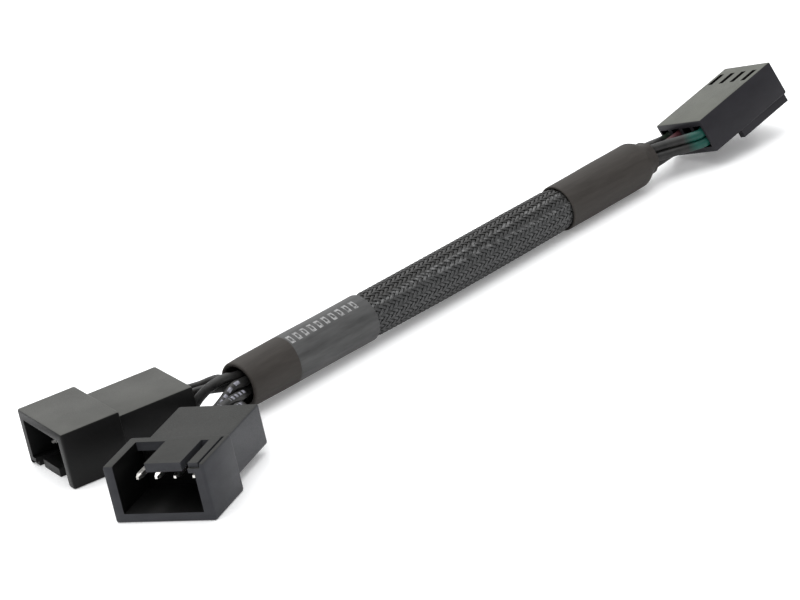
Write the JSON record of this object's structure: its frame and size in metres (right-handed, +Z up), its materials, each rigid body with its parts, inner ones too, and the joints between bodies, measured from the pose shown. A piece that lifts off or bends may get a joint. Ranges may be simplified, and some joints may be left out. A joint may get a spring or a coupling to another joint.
{
  "type": "fan splitter cable",
  "caption": "Short Y cable that lets one fan header drive a pair of fans: a keyed socket, a sleeved trunk and shrouded keyed plugs.",
  "frame": {"origin": "centre of the bottom of the bounding box, on the surface that the cable lies on", "axes": "+X along the trunk from the fork to the socket, +Y towards the upside-down plug, +Z up"},
  "size_m": [0.1301, 0.0388, 0.0105],
  "materials": {
    "black_nylon": "moulded black nylon with a fine satin texture",
    "tinned_contact": "stamped and tin plated",
    "wire_jacket": "smooth flexible black jacket with pale print marks",
    "shrink_tube": "shrunk tube, matte brownish black",
    "label_tube": "shrunk tube, greyer and a little glossier",
    "braid": "woven black monofilament sleeve"
  },
  "bodies": {
    "root": {"plug_a_housing": "black_nylon", "plug_b_housing": "black_nylon", "socket_housing": "black_nylon", "plug_a_pin_ground": "tinned_contact", "plug_a_pin_power": "tinned_contact", "plug_a_pin_tach": "tinned_contact", "plug_a_pin_control": "tinned_contact", "plug_b_pin_ground": "tinned_contact", "plug_b_pin_power": "tinned_contact", "plug_b_pin_control": "tinned_contact", "socket_contact_ground": "tinned_contact", "socket_contact_power": "tinned_contact", "socket_contact_tach": "tinned_contact", "socket_contact_control": "tinned_contact", "wire_a_ground": "wire_jacket", "wire_a_power": "wire_jacket", "wire_a_tach": "wire_jacket", "wire_a_control": "wire_jacket", "wire_b_ground": "wire_jacket", "wire_b_power": "wire_jacket", "wire_b_control": "wire_jacket", "braided_sleeve": "braid", "fork_collar": "shrink_tube", "label_tube": "label_tube", "socket_boot": "shrink_tube"}
  },
  "joints": []
}
